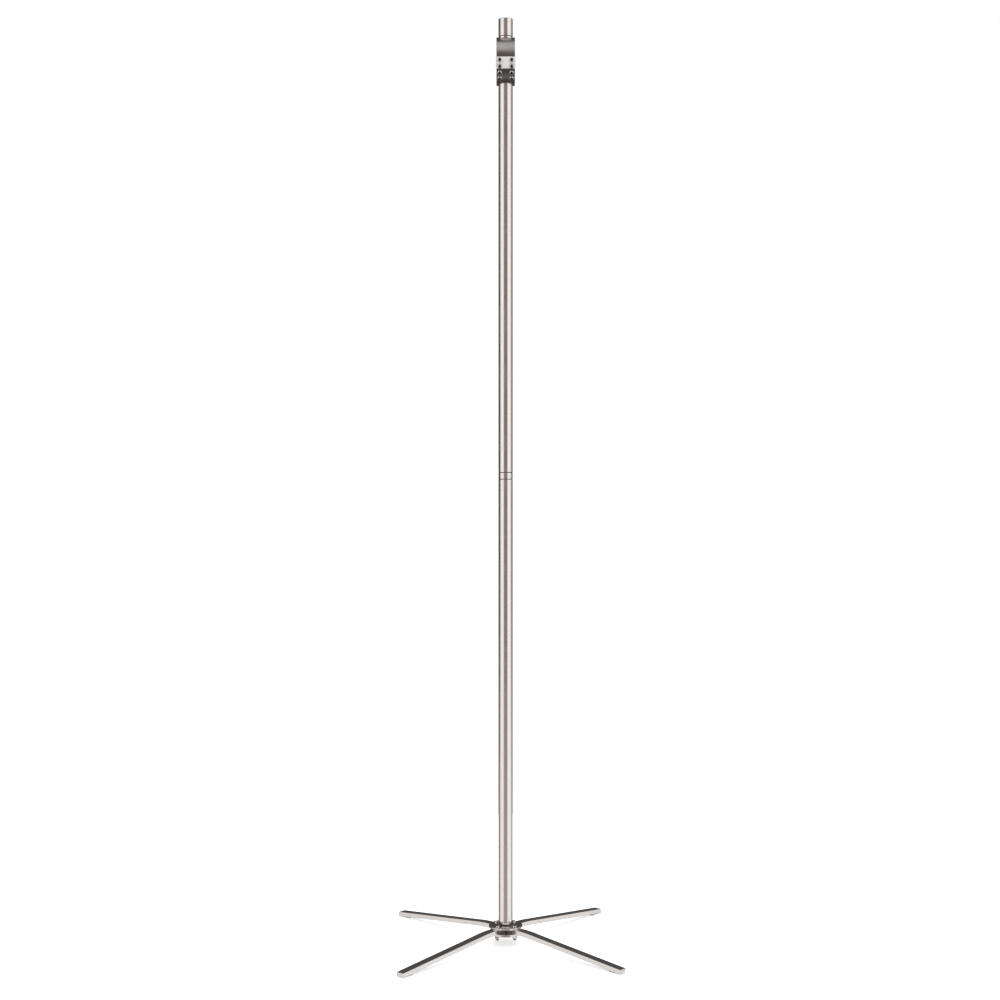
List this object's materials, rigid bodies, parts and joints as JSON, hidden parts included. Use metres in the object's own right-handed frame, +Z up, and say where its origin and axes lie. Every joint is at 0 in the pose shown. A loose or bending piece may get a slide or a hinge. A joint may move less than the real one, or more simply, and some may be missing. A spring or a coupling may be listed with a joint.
{
  "type": "iv drip stand",
  "caption": "Tall straight stand: a round steel pole in two joined lengths on four arched flat-bar legs, with a tilting barrel knuckle and a turning stub on top.",
  "frame": {"origin": "on the floor, on the pole's axis", "axes": "+Z up the pole; the screwed front plate of the barrel faces -Y; the tilt axis lies along X"},
  "size_m": [0.512, 0.512, 2.081],
  "materials": {
    "pole_steel": "satin stainless steel, polished round the pole",
    "leg_steel": "brushed along the bar",
    "hub_steel": "polished turned disc",
    "fastener_steel": "bright stainless fastener",
    "pad_rubber": "matt black",
    "core_aluminium": "fine-blasted, hidden inside",
    "plate_bright": "bright, near mirror",
    "shell_dark": "dark satin steel",
    "cap_satin": "satin, brushed round the barrel",
    "cheek_steel": "turned satin face",
    "friction_polymer": "dark friction material",
    "bush_bronze": "plain bearing bronze"
  },
  "bodies": {
    "stand": {"hub_upper_disc": "hub_steel", "hub_lower_disc": "hub_steel", "leg_back_right": "leg_steel", "leg_back_left": "leg_steel", "leg_front_left": "leg_steel", "leg_front_right": "leg_steel", "hub_bolt_back_right": "fastener_steel", "hub_bolt_back_left": "fastener_steel", "hub_bolt_front_left": "fastener_steel", "hub_bolt_front_right": "fastener_steel", "hub_washer_back_right": "fastener_steel", "hub_washer_back_left": "fastener_steel", "hub_washer_front_left": "fastener_steel", "hub_washer_front_right": "fastener_steel", "dome_nut_back_right": "fastener_steel", "dome_nut_back_left": "fastener_steel", "dome_nut_front_left": "fastener_steel", "dome_nut_front_right": "fastener_steel", "foot_pad_back_right": "pad_rubber", "foot_pad_back_left": "pad_rubber", "foot_pad_front_left": "pad_rubber", "foot_pad_front_right": "pad_rubber", "pole_foot_plug": "pole_steel", "centre_bolt": "fastener_steel", "lower_pole_tube": "pole_steel", "lower_tube_insert": "core_aluminium", "coupling_ring": "pole_steel", "coupling_stud": "fastener_steel", "upper_tube_insert": "core_aluminium", "upper_pole_tube": "pole_steel", "fork_body": "core_aluminium", "front_plate": "plate_bright", "lower_shell": "shell_dark", "plate_screw_left_1": "fastener_steel", "plate_screw_right_1": "fastener_steel", "plate_screw_left_2": "fastener_steel", "plate_screw_right_2": "fastener_steel", "plate_screw_left_3": "fastener_steel", "plate_screw_right_3": "fastener_steel", "plate_screw_left_4": "fastener_steel", "plate_screw_right_4": "fastener_steel", "side_cheek_left": "cheek_steel", "side_cheek_right": "cheek_steel", "friction_washer_left": "friction_polymer", "friction_washer_right": "friction_polymer", "tilt_axle": "fastener_steel", "axle_cap_screw": "fastener_steel"},
    "tilt_head": {"tilt_tongue": "core_aluminium", "tongue_bush": "bush_bronze", "tilt_cap": "cap_satin", "neck_ring": "pole_steel"},
    "stub": {"stub_tube": "pole_steel", "stub_end_cap": "pole_steel"}
  },
  "joints": [
    {"name": "head_tilt", "type": "hinge", "parent": "stand", "child": "tilt_head", "pos_m": [0, 0, 1.986], "axis": [-1, 0, 0], "range_deg": [0, 45]},
    {"name": "stub_swivel", "type": "hinge", "parent": "tilt_head", "child": "stub", "pos_m": [0, 0, 2.06], "axis": [0, 0, 1], "continuous": true}
  ]
}
